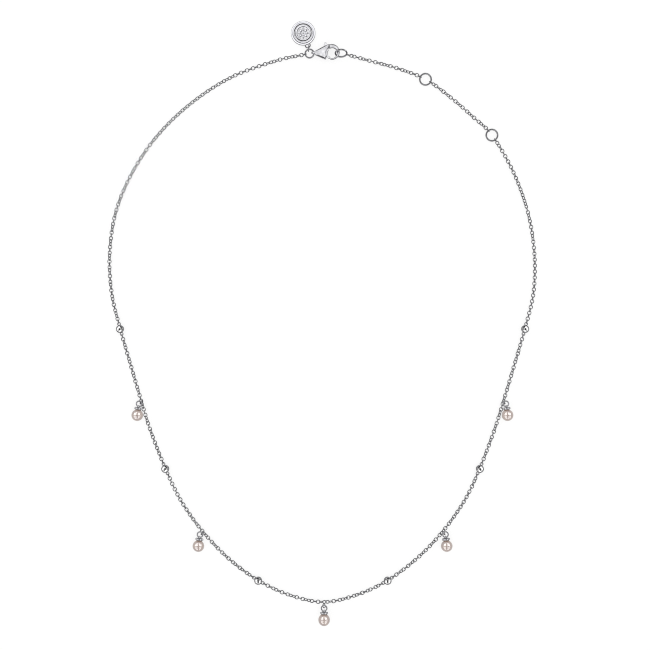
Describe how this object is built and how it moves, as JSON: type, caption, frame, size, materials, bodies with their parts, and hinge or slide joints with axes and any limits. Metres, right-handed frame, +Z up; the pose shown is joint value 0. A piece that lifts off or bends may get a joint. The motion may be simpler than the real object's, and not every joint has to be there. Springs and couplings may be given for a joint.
{
  "type": "pearl drop necklace",
  "caption": "Fine cable-chain necklace laid flat, with bezel-set stone stations, capped pearl drops, adjusting rings, a round tag and a lobster clasp whose lever opens.",
  "frame": {"origin": "middle of the necklace's outline, on the surface that it lies on", "axes": "+Z up from that surface, +Y from the neck opening to the clasp and the tag, -Y to the front drop, +X to the extender's side"},
  "size_m": [0.1253, 0.1763, 0.0034],
  "materials": {
    "white_gold": "polished, rhodium plated",
    "pearl": "pearly nacre, cream with a rose overtone",
    "diamond": "faceted, clear"
  },
  "bodies": {
    "necklace": {"chain_left_back": "white_gold", "chain_left_side": "white_gold", "chain_left_front": "white_gold", "chain_front": "white_gold", "chain_right_front": "white_gold", "chain_right_side": "white_gold", "chain_right_back": "white_gold", "extender_outer": "white_gold", "extender_inner": "white_gold", "station_bezel_1": "white_gold", "station_bezel_2": "white_gold", "station_bezel_3": "white_gold", "station_bezel_4": "white_gold", "station_bezel_5": "white_gold", "station_bezel_6": "white_gold", "station_stone_1": "diamond", "station_stone_2": "diamond", "station_stone_3": "diamond", "station_stone_4": "diamond", "station_stone_5": "diamond", "station_stone_6": "diamond", "adjust_ring_1": "white_gold", "adjust_ring_2": "white_gold", "end_ring": "white_gold", "clasp_body": "white_gold", "clasp_pin": "white_gold", "clasp_ring": "white_gold", "tag_disc": "white_gold", "tag_ring": "white_gold", "drop_ring_1": "white_gold", "drop_ring_2": "white_gold", "drop_ring_3": "white_gold", "drop_ring_4": "white_gold", "drop_ring_5": "white_gold", "drop_cap_1": "white_gold", "drop_cap_2": "white_gold", "drop_cap_3": "white_gold", "drop_cap_4": "white_gold", "drop_cap_5": "white_gold", "pearl_1": "pearl", "pearl_2": "pearl", "pearl_3": "pearl", "pearl_4": "pearl", "pearl_5": "pearl"},
    "lever": {"clasp_lever": "white_gold"}
  },
  "joints": [
    {"name": "lever_hinge", "type": "hinge", "parent": "necklace", "child": "lever", "pos_m": [0.00141, 0.0804, 0.00124], "axis": [-0.1219, 0, 0.9925], "range_deg": [0, 22], "stiffness_Nm_per_rad": 0.005}
  ]
}
